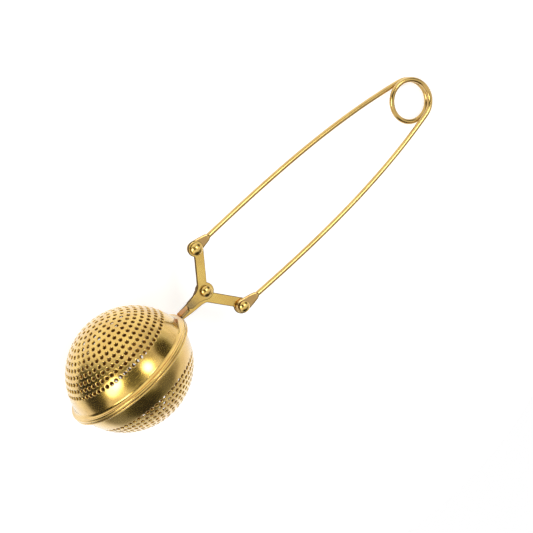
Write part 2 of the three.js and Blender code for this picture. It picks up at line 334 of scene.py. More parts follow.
def perforated_half(rim_profile):
    """Points, normals and faces of one half ball with its holes and rim, its pole up the Y axis."""
    centre = np.array(CAP_CENTRE)
    points, normals, faces = [], [], []
    count = 0

    def add(new_points, new_normals):
        nonlocal count
        points.append(new_points)
        normals.append(new_normals)
        count += len(new_points)
        return count - len(new_points)

    def add_turned(rows):
        new_points, new_normals, new_faces = lathe(rows, BAND_SEGMENTS, count)
        faces.extend(new_faces)
        return add(new_points, new_normals)

    def bridge(a, b):
        for k in range(HOLE_SIDES):
            k1 = (k + 1) % HOLE_SIDES
            faces.append((a + k, a + k1, b + k1, b + k))

    holes = hole_directions()
    inner_radius = BALL_RADIUS - SHEET
    skin_first, inner_first, flat = [], [], []
    for middle in holes:
        previous = None
        for reach, depth, slope in HOLE_EDGE:
            ring, outwards = hole_ring(middle, reach, BALL_RADIUS)
            lean = math.radians(slope)
            facing = math.cos(lean) * ring - math.sin(lean) * outwards
            start = add(centre + (BALL_RADIUS - depth) * ring, facing)
            if previous is None:
                skin_first.append(start)
                flat.append(ring)
            else:
                bridge(previous, start)
            previous = start
        mouth, _ = hole_ring(middle, HOLE_EDGE[-1][0], BALL_RADIUS)
        start = add(centre + inner_radius * mouth, -mouth)
        wide, _ = hole_ring(middle, HOLE_EDGE[0][0], BALL_RADIUS)
        inner = add(centre + inner_radius * wide, -wide)
        bridge(start, inner)
        inner_first.append(inner)

    band_first = add_turned(rim_profile)
    rim_angle = 90 - math.degrees(math.acos((PARTING_GAP + CAP_SHIFT) / inner_radius))
    lining = arc(CAP_CENTRE, inner_radius, rim_angle, 90 - BAND_START, LINING_STEPS, inward=True)
    # the flat seat where the halves meet
    add_turned([(*rim_profile[-1][:2], 0, -1), (*lining[0][:2], 0, -1)])
    lining_last = add_turned(lining) + (len(lining) - 1) * BAND_SEGMENTS

    # skin and lining between the holes, triangulated with the cap rolled out flat about its pole
    rolled, skin_index, inner_index, owner = [], [], [], []
    for number, ring in enumerate(flat):
        for k, direction in enumerate(ring):
            polar = math.acos(max(-1.0, min(1.0, direction[1])))
            turn = math.atan2(direction[2], direction[0])
            rolled.append(Vector((polar * math.cos(turn), polar * math.sin(turn))))
            skin_index.append(skin_first[number] + k)
            inner_index.append(inner_first[number] + k)
            owner.append(number)
    edge = math.radians(BAND_START)
    for k in range(BAND_SEGMENTS):
        turn = 2 * math.pi * k / BAND_SEGMENTS
        rolled.append(Vector((edge * math.cos(turn), edge * math.sin(turn))))
        skin_index.append(band_first + k)
        inner_index.append(lining_last + k)
        owner.append(-1)
    _, _, triangles, sources, _, _ = delaunay_2d_cdt(rolled, [], [], 0, FLAT_TOLERANCE)
    for triangle in triangles:
        ids = [sources[v][0] for v in triangle]
        # a triangle with one owner lies in that hole's mouth
        if len({owner[i] for i in ids}) == 1:
            continue
        faces.append([skin_index[i] for i in reversed(ids)])
        faces.append([inner_index[i] for i in ids])
    return np.vstack(points), np.vstack(normals), faces


def half_ball(name, profile, side, material, turn):
    """A perforated half ball in its place, with the lining's painted shade inside."""
    points, normals, faces = perforated_half(profile)
    cos, sin = math.cos(turn), math.sin(turn)
    about_y = np.array(((cos, 0.0, sin), (0.0, 1.0, 0.0), (-sin, 0.0, cos)))
    points, normals = points @ about_y, normals @ about_y
    flip = np.array((1.0, side, side))
    place = np.array((BALL_CENTRE_X, 0.0, 0.0))
    # the inside faces take the lining material: its dark brown is painted shade of the hollow
    lining = np.linalg.norm(points - CAP_CENTRE, axis=1) < BALL_RADIUS - SHEET + LINING_MARGIN
    slots = [int(all(lining[v] for v in face)) for face in faces]
    return mesh_piece(
        name, points * flip + place, faces, normals * flip, [material, ball_lining_shade], slots,
    )


# ---------------- levers
FILLET_STEPS = 6
# the part of an edge that one fillet may take, and the half angle at which a corner is straight
FILLET_SHARE = 0.48
STRAIGHT = math.radians(89)
LUG_STEPS = 30
ARM_END_STEPS = 40
# angles left for the fillets where the lug and the arm's round end meet the edges, in radians
LUG_EASE = 0.12
ARM_END_EASE = 0.3
LUG_FILLET = 0.8
ARM_END_FILLET = 0.9
ELBOW_FILLET = 1.6
NECK_FILLET = 1.2
CUT_OUTER_FILLET = 0.5
CUT_INNER_FILLET = 0.6


def filleted(corners):
    """A closed outline from (x, y, fillet radius) corners."""
    outline = []
    total = len(corners)
    for k, (x, y, radius) in enumerate(corners):
        here = np.array((x, y))
        before = np.array(corners[k - 1][:2]) - here
        after = np.array(corners[(k + 1) % total][:2]) - here
        if radius <= 0:
            outline.append(here)
            continue
        before_length, after_length = np.linalg.norm(before), np.linalg.norm(after)
        before, after = before / before_length, after / after_length
        half = math.acos(max(-1.0, min(1.0, float(before @ after)))) / 2
        if half > STRAIGHT:
            outline.append(here)
            continue
        room = FILLET_SHARE * min(before_length, after_length)
        reach = min(radius / math.tan(half), room)
        radius = reach * math.tan(half)
        middle = here + (before + after) / np.linalg.norm(before + after) * radius / math.sin(half)
        start = here + before * reach - middle
        end = here + after * reach - middle
        a0 = math.atan2(start[1], start[0])
        sweep = math.atan2(end[1], end[0]) - a0
        sweep = (sweep + math.pi) % (2 * math.pi) - math.pi
        for step in range(FILLET_STEPS + 1):
            a = a0 + sweep * step / FILLET_STEPS
            outline.append(middle + radius * np.array((math.cos(a), math.sin(a))))
    return outline


def round_end(centre, radius, start, end, steps):
    """Sharp corners along a round end, counter-clockwise from start to end in radians."""
    corners = []
    for k in range(steps + 1):
        a = start + (end - start) * k / steps
        corners.append((centre[0] + radius * math.cos(a), centre[1] + radius * math.sin(a), 0))
    return corners


def rivet_place(side):
    x, y = LEVERS[side]["rivet"]
    return (x, side * y)


def lever_outline(shape):
    """The plate's outline: the arm's coil-side edge is tangent to its round end."""
    (x, y), bearing = shape["rivet"], shape["bearing"]
    offset = ARM_END_RADIUS + x * math.sin(bearing) - y * math.cos(bearing)
    lug_end = 2 * math.pi + bearing - math.asin(offset / LUG_RADIUS)
    bulge = math.asin((shape["arm_width"] - ARM_END_RADIUS) / ARM_END_RADIUS)
    end_last = bearing + math.pi - bulge
    corners = round_end((0, 0), LUG_RADIUS, LUG_START, lug_end - LUG_EASE, LUG_STEPS)
    corners.append((LUG_RADIUS * math.cos(lug_end), LUG_RADIUS * math.sin(lug_end), LUG_FILLET))
    corners += round_end(
        (x, y), ARM_END_RADIUS, bearing - math.pi / 2, end_last - ARM_END_EASE, ARM_END_STEPS,
    )
    shoulder = (x + ARM_END_RADIUS * math.cos(end_last), y + ARM_END_RADIUS * math.sin(end_last))
    corners += [
        (*shoulder, ARM_END_FILLET),
        (*shape["elbow"], ELBOW_FILLET),
        (*shape["neck_outer"], NECK_FILLET),
        (*shape["tab_start"], 0),
        (*shape["cut_outer"], CUT_OUTER_FILLET),
        (*CUT_INNER, CUT_INNER_FILLET),
        (*NECK_INNER, NECK_FILLET),
    ]
    return filleted(corners)


def prism(name, outline, low, high):
    """A closed plate from an outline in the tool's XY plane."""
    count = len(outline)
    points = [(x, y, low) for x, y in outline] + [(x, y, high) for x, y in outline]
    faces = [list(range(count))[::-1], list(range(count, 2 * count)), *ring_faces(0, 2, count)]
    return mesh_piece(name, points, faces)


def inset(outline, distance):
    """A dense counter-clockwise outline moved inwards."""
    outline = np.array(outline)
    before = outline - np.roll(outline, 1, axis=0)
    after = np.roll(outline, -1, axis=0) - outline
    before /= np.linalg.norm(before, axis=1)[:, None]
    after /= np.linalg.norm(after, axis=1)[:, None]
    normal_before = np.column_stack((-before[:, 1], before[:, 0]))
    normal_after = np.column_stack((-after[:, 1], after[:, 0]))
    middle = normal_before + normal_after
    middle /= np.linalg.norm(middle, axis=1)[:, None]
    stretch = 1 / np.maximum(np.sum(middle * normal_before, axis=1), MITRE_LIMIT)
    return outline + middle * (distance * stretch)[:, None]


def inside(outline, point):
    """Whether a point lies in an outline, by counting crossings."""
    x, y = point
    crossings = False
    for k, (x1, y1) in enumerate(outline):
        x0, y0 = outline[k - 1]
        if (y0 > y) != (y1 > y) and x < x0 + (x1 - x0) * (y - y0) / (y1 - y0):
            crossings = not crossings
    return crossings


def rounded_plate(name, outline, low, high, holes=(), place=None):
    """A plate with rounded edges and drilled holes; place maps its points into the tool."""
    outline = np.array([
        p for k, p in enumerate(outline)
        if np.linalg.norm(np.subtract(p, outline[k - 1])) > OUTLINE_STEP
    ])
    count = len(outline)
    rows = [(-90 + 90 * k / EDGE_STEPS, low + EDGE_ROUND) for k in range(EDGE_STEPS + 1)]
    rows += [(90 * k / EDGE_STEPS, high - EDGE_ROUND) for k in range(EDGE_STEPS + 1)]
    points = []
    for angle, height in rows:
        a = math.radians(angle)
        ring = inset(outline, EDGE_ROUND * (1 - math.cos(a)))
        points += [(x, y, height + EDGE_ROUND * math.sin(a)) for x, y in ring]
    faces = ring_faces(0, len(rows), count)
    rim = inset(outline, EDGE_ROUND)
    flat = [Vector(p) for p in rim]
    edges = [(k, (k + 1) % count) for k in range(count)]
    bottom = list(range(count))
    top = list(range((len(rows) - 1) * count, len(rows) * count))
    for hole in holes:
        first, size = len(flat), len(hole)
        flat += [Vector(p) for p in hole]
        edges += [(first + k, first + (k + 1) % size) for k in range(size)]
        low_first = len(points)
        points += [(x, y, low) for x, y in hole]
        high_first = len(points)
        points += [(x, y, high) for x, y in hole]
        bottom += range(low_first, low_first + size)
        top += range(high_first, high_first + size)
        for k in range(size):
            k1 = (k + 1) % size
            faces.append((low_first + k1, low_first + k, high_first + k, high_first + k1))
    spots, _, triangles, sources, _, _ = delaunay_2d_cdt(flat, edges, [], 0, FLAT_TOLERANCE)
    for triangle in triangles:
        middle = sum((spots[v] for v in triangle), Vector((0, 0))) / 3
        if not inside(rim, middle) or any(inside(hole, middle) for hole in holes):
            continue
        faces.append([top[sources[v][0]] for v in triangle])
        faces.append([bottom[sources[v][0]] for v in reversed(triangle)])
    if place is not None:
        points = [place(*p) for p in points]
    return mesh_piece(name, points, faces)


def ring_outline(centre, radius):
    turn = np.arange(DRILL_SIDES) * (2 * math.pi / DRILL_SIDES)
    return [(centre[0] + radius * math.cos(a), centre[1] + radius * math.sin(a)) for a in turn]


def crease(piece, degrees):
    """Mark the edges that turn by more than an angle as sharp."""
    shape = bmesh.new()
    shape.from_mesh(piece.data)
    sharp = math.radians(degrees)
    for edge in shape.edges:
        if len(edge.link_faces) == 2 and edge.calc_face_angle() > sharp:
            edge.smooth = False
    shape.to_mesh(piece.data)
    shape.free()


def edge_slot(piece, material, flatness):
    """Give a second material to the faces that don't look along the pivot axis."""
    piece.data.materials.append(material)
    for face in piece.data.polygons:
        facing = abs(float(np.dot(face.normal, AXIS_Z)))
        face.material_index = EDGE_SLOT if facing < flatness else 0


def tidy_join(piece):
    """Close up the slivers that a boolean leaves where two surfaces nearly meet."""
    shape = bmesh.new()
    shape.from_mesh(piece.data)
    bmesh.ops.remove_doubles(shape, verts=shape.verts[:], dist=JOIN_TOLERANCE)
    bmesh.ops.dissolve_degenerate(shape, dist=JOIN_TOLERANCE, edges=shape.edges[:])
    bmesh.ops.triangulate(shape, faces=shape.faces[:])
    corners = {}
    for face in shape.faces:
        corners.setdefault(frozenset(face.verts), []).append(face)
    twins = [face for same in corners.values() if len(same) > 1 for face in same]
    bmesh.ops.delete(shape, geom=twins, context="FACES")
    shape.to_mesh(piece.data)
    shape.free()


def combine(piece, other, operation):
    """Join another solid to a piece, or cut it out, and use the other up."""
    modifier = piece.modifiers.new("join", "BOOLEAN")
    modifier.operation = operation
    modifier.solver = "MANIFOLD"
    modifier.object = other
    apply_modifiers(piece)
    tidy_join(piece)
    bpy.data.objects.remove(other)


def rim_reach(height, sink):
    """The rim's outer edge at a height, as x, moved into the rim by the sink."""
    return math.sqrt(LIP_RADIUS ** 2 - height ** 2) + BALL_CENTRE_X - sink


def tab_line(shape, x):
    """The y of a tab's outer face."""
    return shape["cut_outer"][1] + shape["tab_slope"] * (x - shape["cut_outer"][0])


def heated_tab(plate, side):
    """The tab's broad faces carry the weld's tint from heating."""
    plate.data.materials.append(weld_gold)
    for face in plate.data.polygons:
        height = side * from_row(face.center)[2]
        if height > PLATE_HIGH and abs(face.normal[1]) > TAB_FLATNESS:
            face.material_index = TAB_SLOT


def lever(name, side, material):
    """A stamped plate with its upturned tab; side -1 turns it over about the tool's X axis."""
    shape = LEVERS[side]
    drilled = [ring_outline(centre, RIVET_HOLE) for centre in ((0.0, 0.0), shape["rivet"])]
    plate = rounded_plate(name, lever_outline(shape), PLATE_LOW, PLATE_HIGH, drilled)
    sink = shape["tab_sink"]
    profile = filleted([
        (rim_reach(PLATE_LOW, sink), PLATE_LOW, TAB_FILLET),
        (TAB_BACK, PLATE_LOW, TAB_FILLET),
        (TAB_BACK - TAB_ROOT_BACK, PLATE_HIGH + TAB_ROOT_RISE, TAB_ROOT_FILLET),
        (TAB_BACK - TAB_TOP_BACK, TAB_HEIGHT, TAB_TOP_FILLET),
        (rim_reach(TAB_HEIGHT, sink), TAB_HEIGHT, TAB_FILLET),
    ])

    def stand(x, height, depth):
        return (x, tab_line(shape, x) + TAB_PROUD - depth, height)

    tab = rounded_plate(name + "_tab", profile, 0.0, PLATE_HIGH - PLATE_LOW, place=stand)
    combine(plate, tab, "UNION")
    if side < 0:
        axis = Vector(AXIS_X.tolist())
        pivot = Vector(PIVOT.tolist())
        turn = Matrix.Translation(pivot) @ Matrix.Rotation(math.pi, 4, axis)
        turn = turn @ Matrix.Translation(-pivot)
        plate.data.transform(turn)
    plate.data.materials.clear()
    plate.data.materials.append(material)
    # cut edges take the dark edge colour: the bare sheared metal's own brown, darkened further as
    # painted shade of the gaps and contact lines between the plates
    edge_slot(plate, dark_edge_and_shade, PLATE_FLATNESS)
    heated_tab(plate, side)
    plate.data.polygons.foreach_set("use_smooth", [True] * len(plate.data.polygons))
    crease(plate, PLATE_CREASE)
    weighted = plate.modifiers.new("shading", "WEIGHTED_NORMAL")
    weighted.keep_sharp = True
    weighted.weight = FULL_WEIGHT
    apply_modifiers(plate)
    return plate


# ---------------- welds
WELD_ROWS = 14
WELD_SIDES = 20
# height on the tab and half sizes of each nugget
WELDS = ((1.3, (0.5, 0.7, 0.85)), (3.3, (0.45, 0.62, 0.95)))
WELD_PHASE = 1.7
WELD_PROUD = 0.1
WELD_DEPTH = 0.35
WELD_CAP = 0.02
BROAD_LUMPS = 0.07
FINE_LUMPS = 0.05


def weld(name, side, height, size, phase, material):
    """A small lumpy nugget that joins a lever's tab to the rim of its half ball."""
    x = rim_reach(height, 0.0) + WELD_PROUD
    centre = np.array((x, tab_line(LEVERS[side], x) - WELD_DEPTH, height))
    points = []
    for row in range(WELD_ROWS + 1):
        polar = math.pi * (WELD_CAP + (1 - 2 * WELD_CAP) * row / WELD_ROWS)
        for k in range(WELD_SIDES):
            turn = 2 * math.pi * k / WELD_SIDES
            lump = 1 + BROAD_LUMPS * math.sin(3 * turn + 5 * polar + phase)
            lump += FINE_LUMPS * math.sin(5 * turn - 4 * polar + 2 * phase)
            reach = lump * np.array((
                math.sin(polar) * math.cos(turn),
                math.sin(polar) * math.sin(turn),
                math.cos(polar),
            ))
            points.append(centre + np.array(size) * reach)
    faces = [(a, d, c, b) for a, b, c, d in ring_faces(0, WELD_ROWS + 1, WELD_SIDES)]
    faces.append(list(range(WELD_SIDES)))
    faces.append(list(range(WELD_ROWS * WELD_SIDES, (WELD_ROWS + 1) * WELD_SIDES))[::-1])
    turned = np.array(points) * np.array((1.0, side, side))
    return mesh_piece(name, turned, faces, materials=[material])


# ---------------- rivets
CROWN_HALF_ANGLE = 40.0
SHOULDER = 0.45
RIVET_SIDES = 48
SEAT_SINK = 0.04
TAIL_CORNER = 0.05
HEAD_CORNER = 0.1
HEAD_SINK = 0.02
HEAD_RISE = 0.08
TAIL_STEPS = 8
SHOULDER_STEPS = 6
CROWN_STEPS = 12


def rivet_profile(radius, head_base, head_top, tail_radius, tail_base, tail_end, shank):
    """(radius, height) rows from the tail's middle up to the crown of the head."""
    rows = []
    for k in range(TAIL_STEPS + 1):
        a = math.radians(-90 + 90 * k / TAIL_STEPS)
        rows.append((tail_radius * math.cos(a), tail_base + (tail_base - tail_end) * math.sin(a)))
    rows += [
        (tail_radius - TAIL_CORNER, tail_base + SEAT_SINK),
        (shank, tail_base + SEAT_SINK),
        (shank, head_base - SEAT_SINK),
        (radius - HEAD_CORNER, head_base - HEAD_SINK),
        (radius, head_base + HEAD_RISE),
    ]
    # a shallow crown over a rounded shoulder
    crown = math.radians(CROWN_HALF_ANGLE)
    flat = radius - SHOULDER * (1 - math.sin(crown))
    crown_radius = flat / math.sin(crown)
    crown_middle = head_top - crown_radius
    shoulder = (radius - SHOULDER, crown_middle + (crown_radius - SHOULDER) * math.cos(crown))
    for k in range(SHOULDER_STEPS + 1):
        a = math.radians(90 - CROWN_HALF_ANGLE) * k / SHOULDER_STEPS
        rows.append((shoulder[0] + SHOULDER * math.cos(a), shoulder[1] + SHOULDER * math.sin(a)))
    for k in range(1, CROWN_STEPS + 1):
        a = crown * (1 - k / CROWN_STEPS)
        rows.append((crown_radius * math.sin(a), crown_middle + crown_radius * math.cos(a)))
    rows[0] = (0.0, tail_end)
    rows[-1] = (0.0, head_top)
    return rows


def rivet(name, place, material, **sizes):
    """A rivet turned about an axis that stands at a place of the plates."""
    x, y = place
    rows = rivet_profile(**sizes)
    points = []
    for radius, height in rows[1:-1]:
        for k in range(RIVET_SIDES):
            a = 2 * math.pi * k / RIVET_SIDES
            points.append((x + radius * math.cos(a), y + radius * math.sin(a), height))
    faces = ring_faces(0, len(rows) - 2, RIVET_SIDES)
    bottom, top = len(points), len(points) + 1
    last = len(points) - RIVET_SIDES
    points += [(x, y, rows[0][1]), (x, y, rows[-1][1])]
    for k in range(RIVET_SIDES):
        k1 = (k + 1) % RIVET_SIDES
        faces.append((bottom, k1, k))
        faces.append((top, last + k, last + k1))
    piece = mesh_piece(name, points, faces, materials=[material])
    crease(piece, RIVET_CREASE)
    # the head's steep sides take the dark edge colour: painted shade where the head meets the plate
    edge_slot(piece, dark_edge_and_shade, RIVET_FLATNESS)
    return piece


# ---------------- handle wire
def coil_point(turn):
    return np.array((
        COIL_CENTRE[0] + COIL_RADIUS * math.sin(turn),
        COIL_CENTRE[1] + COIL_RADIUS * math.cos(turn),
        COIL_PITCH * (turn - COIL_TURN / 2) / (2 * math.pi),
    ))


# each leg's lean at its eye in radians, its slopes at the eye and the coil, and the coil's turn there
LEGS = {
    1: {"lean": -0.1, "leave": -0.05, "arrive": -0.27, "wind": 0.26},
    -1: {"lean": -0.12, "leave": -0.09, "arrive": 0.16, "wind": 0.16},
}
EYE_TIP = -2.4
EYE_REACH = 5.3
EYE_POINTS = 40
LEG_POINTS = 190
COIL_POINTS = 140
PATH_SPACING = 0.3
PATH_PASSES = 10
LOOK_AHEAD = 0.25
TIP_HALF_WIDTH = 0.02
DRILL_REACH = 3.0
# distance from the rivet, half thickness and squareness of the round nose beyond the rivet
NOSE = (
    (-2.4, 0.30, 2.6),
    (-2.36, 0.42, 3.0),
    (-2.2, 0.50, 3.6),
    (-1.9, EYE_HALF_THICKNESS, 4.5),
    (-1.4, EYE_HALF_THICKNESS, 5.0),
)
# distance from the rivet, half width, half thickness and squareness from the rivet to the leg
PADDLE = (
    (0.0, 2.4, EYE_HALF_THICKNESS, 5.0),
    (0.5, 2.36, EYE_HALF_THICKNESS, 5.0),
    (1.9, 2.12, EYE_HALF_THICKNESS, 5.0),
    (3.0, 1.92, EYE_HALF_THICKNESS, 5.0),
    (3.9, 1.74, EYE_HALF_THICKNESS, 4.8),
    (4.9, 1.52, 0.56, 4.4),
    (5.7, 1.34, 0.6, 4.0),
    (6.05, 1.2, 0.66, 3.4),
    (6.3, 0.94, 0.76, 2.6),
    (6.7, WIRE_RADIUS, WIRE_RADIUS, 2.0),
)
# where the wire's sections stand: the nose's from the rivet, and then from the tip: the eye's first,
# last and step, and the leg's first and spacing
NOSE_STATIONS = (-2.4, -2.385, -2.34, -2.27, -2.17, -2.04, -1.88, -1.68, -1.44)
EYE_STATIONS = (1.2, 12.0, 0.28)
LEG_FIRST = 12.3
LEG_SPACING = 0.55


def leg_path(side):
    """The wire's middle line from the eye's tip to the coil."""
    leg = LEGS[side]
    aim = np.array((math.cos(leg["lean"]), math.sin(leg["lean"]), 0.0))
    eye = np.array((*rivet_place(side), -side * EYE_Z))
    start = eye + EYE_REACH * aim
    wind = leg["wind"] if side > 0 else COIL_TURN - leg["wind"]
    end = coil_point(wind)
    points = [eye + s * aim for s in np.linspace(EYE_TIP, EYE_REACH, EYE_POINTS)[:-1]]
    span = end[0] - start[0]
    for t in np.linspace(0, 1, LEG_POINTS)[:-1]:
        blend = t * t * (3 - 2 * t)
        rise = leg["leave"] * t * (1 - t) ** 2 - leg["arrive"] * t * t * (1 - t)
        points.append(np.array((
            start[0] + span * t,
            start[1] + (end[1] - start[1]) * blend + span * rise,
            start[2] + (end[2] - start[2]) * t,
        )))
    return points


def run_along(points):
    """Each point's distance from the first, along the path."""
    return np.concatenate(([0], np.cumsum(np.linalg.norm(np.diff(points, axis=0), axis=1))))


def resampled(points):
    points = np.array(points)
    length = run_along(points)
    wanted = np.linspace(0, length[-1], int(length[-1] / PATH_SPACING) + 1)
    return np.column_stack([np.interp(wanted, length, points[:, axis]) for axis in range(3)])


def eased(points):
    for _ in range(PATH_PASSES):
        middle = (points[:-2] + 2 * points[1:-1] + points[2:]) / 4
        points = np.vstack((points[:1], middle, points[-1:]))
    return points


def handle_wire(name, material):
    """One wire from eye to eye through the coil, its ends flattened and drilled."""
    path = leg_path(1)
    first, last = LEGS[1]["wind"], COIL_TURN - LEGS[-1]["wind"]
    path += [coil_point(a) for a in np.linspace(first, last, COIL_POINTS)]
    path += leg_path(-1)[::-1]
    fine = eased(resampled(path))
    length = run_along(fine)
    whole = length[-1]
    paddle = np.array(PADDLE)
    section = np.vstack((NOSE, paddle[:, (0, 2, 3)]))

    def at(s):
        return np.array([np.interp(s, length, fine[:, axis]) for axis in range(3)])

    near = [s - EYE_TIP for s in NOSE_STATIONS] + list(np.arange(*EYE_STATIONS))
    count = int((whole - 2 * LEG_FIRST) / LEG_SPACING)
    middle = list(np.linspace(LEG_FIRST, whole - LEG_FIRST, count))
    stations = near + middle + [whole - s for s in reversed(near)]
    points = []
    turn = np.arange(WIRE_SIDES) * (2 * math.pi / WIRE_SIDES)
    cos, sin = np.cos(turn), np.sin(turn)
    up = np.array((0.0, 0.0, 1.0))
    for s in stations:
        ahead, behind = at(min(s + LOOK_AHEAD, whole)), at(max(s - LOOK_AHEAD, 0))
        forward = (ahead - behind) / np.linalg.norm(ahead - behind)
        across = np.cross(up, forward)
        across /= np.linalg.norm(across)
        normal = np.cross(forward, across)
        reach = min(s, whole - s) + EYE_TIP
        if reach < 0:
            half_width = max(math.sqrt(max(EYE_TIP ** 2 - reach ** 2, 0.0)), TIP_HALF_WIDTH)
        else:
            half_width = np.interp(reach, paddle[:, 0], paddle[:, 1])
        half_thickness = np.interp(reach, section[:, 0], section[:, 1])
        square = np.interp(reach, section[:, 0], section[:, 2])
        u = np.sign(cos) * np.abs(cos) ** (2 / square) * half_width
        v = np.sign(sin) * np.abs(sin) ** (2 / square) * half_thickness
        points.append(at(s) + u[:, None] * across + v[:, None] * normal)
    rows = len(stations)
    faces = ring_faces(0, rows, WIRE_SIDES)
    faces.append(list(range(WIRE_SIDES))[::-1])
    faces.append(list(range((rows - 1) * WIRE_SIDES, rows * WIRE_SIDES)))
    piece = mesh_piece(name, np.vstack(points), faces)
    drawn = piece.data.attributes.new("drawn", "FLOAT_VECTOR", "POINT")
    around = np.column_stack((cos, sin))
    grain = [np.column_stack((around, np.full(WIRE_SIDES, s))) for s in stations]
    drawn.data.foreach_set("vector", np.vstack(grain).ravel())
    for side in (1, -1):
        hole = ring_outline(rivet_place(side), RIVET_HOLE)
        drill = prism(name + "_drill", hole, -DRILL_REACH, DRILL_REACH)
        combine(piece, drill, "DIFFERENCE")
    piece.data.materials.clear()
    piece.data.materials.append(material)
    return piece


# ---------------- materials
ROLLING_LEAN = 8.8
ROLLING_STRETCH = (0.12, 3.2, 3.2)
RINGS_STRETCH = (0.0, 3.4, 0.0)
RINGS_DRIFT = 1.6
DIE_STRETCH = (5.0, 5.0, 0.09)
CLOUD_SCALE = 0.16
PIT_SCALE = 7.0
PIT_ROUGHNESS = 0.025
PIT_HEIGHT = 0.00012
# directions in degrees and noise thresholds of the two sets of fine scratches
SCRATCHES = (((20, 35, 50), 0.665), ((-40, 10, -30), 0.675))
SCRATCH_STRETCH = (0.22, 7.0, 7.0)
SCRATCH_WIDTH = 0.03
SCRATCH_ROUGHNESS = 0.1
SCRATCH_DEPTH = 0.0005
# factors on a colour for its deep and its light clouds
DEEP = (0.90, 0.84, 0.72)
LIGHT = (1.06, 1.08, 1.12)
COAT_ROUGHNESS = 0.12
COAT_IOR = 1.7
SHEEN_ROUGHNESS = 0.3
SHEEN_TINT = (1.0, 0.95, 0.85, 1)


def add_node(tree, kind, inputs=None, **settings):
    node = tree.nodes.new(kind)
    for name, value in settings.items():
        setattr(node, name, value)
    for name, value in (inputs or {}).items():
        if isinstance(value, bpy.types.NodeSocket):
            tree.links.new(value, node.inputs[name])
        else:
            node.inputs[name].default_value = value
    return node


def vector_of(tree, operation, a, b=(0, 0, 0)):
    return add_node(tree, "ShaderNodeVectorMath", {0: a, 1: b}, operation=operation).outputs


def scaled(tree, vector, scale):
    inputs = {0: vector, "Scale": scale}
    return add_node(tree, "ShaderNodeVectorMath", inputs, operation="SCALE").outputs[0]


def place_mm(tree, centre):
    """Millimetres from a point of the tool, in the row's directions."""
    where = add_node(tree, "ShaderNodeTexCoord").outputs["Object"]
    return scaled(tree, vector_of(tree, "SUBTRACT", where, to_row(centre).tolist())[0], 1 / MM)


def mapped(tree, vector, scale, turn=(0, 0, 0)):
    return add_node(tree, "ShaderNodeMapping", {
        "Vector": vector, "Scale": scale, "Rotation": [math.radians(a) for a in turn],
    }).outputs[0]


def noise(tree, vector, scale, detail=2.0, roughness=0.5):
    return add_node(tree, "ShaderNodeTexNoise", {
        "Vector": vector, "Scale": scale, "Detail": detail, "Roughness": roughness,
    }).outputs["Fac"]


def ramp(tree, value, low, high, out_low=0.0, out_high=1.0):
    return add_node(tree, "ShaderNodeMapRange", {
        "Value": value, "From Min": low, "From Max": high, "To Min": out_low, "To Max": out_high,
    }, interpolation_type="SMOOTHSTEP").outputs["Result"]


def math_of(tree, operation, a, b):
    return add_node(tree, "ShaderNodeMath", {0: a, 1: b}, operation=operation).outputs[0]


def mixed(tree, factor, a, b):
    """A colour mix; its sockets share names, so they are given by number."""
    inputs = {0: factor, 6: a, 7: b}
    return add_node(tree, "ShaderNodeMix", inputs, data_type="RGBA").outputs[2]


def along_x(tree, middle):
    """Rolling lines that run along the tool."""
    return mapped(tree, middle, ROLLING_STRETCH, (0, ROLLING_LEAN, 0))


def spun(tree, middle):
    """Fine rings about the ball's axis, without a seam."""
    round_axis = vector_of(tree, "NORMALIZE", vector_of(tree, "MULTIPLY", middle, (1, 0, 1))[0])[0]
    height = mapped(tree, middle, RINGS_STRETCH)
    return vector_of(tree, "ADD", scaled(tree, round_axis, RINGS_DRIFT), height)[0]


def drawn_lines(tree, _middle):
    """Die lines along the wire, from its own round and along coordinates."""
    own = add_node(tree, "ShaderNodeAttribute", attribute_name="drawn").outputs["Vector"]
    return mapped(tree, own, DIE_STRETCH)


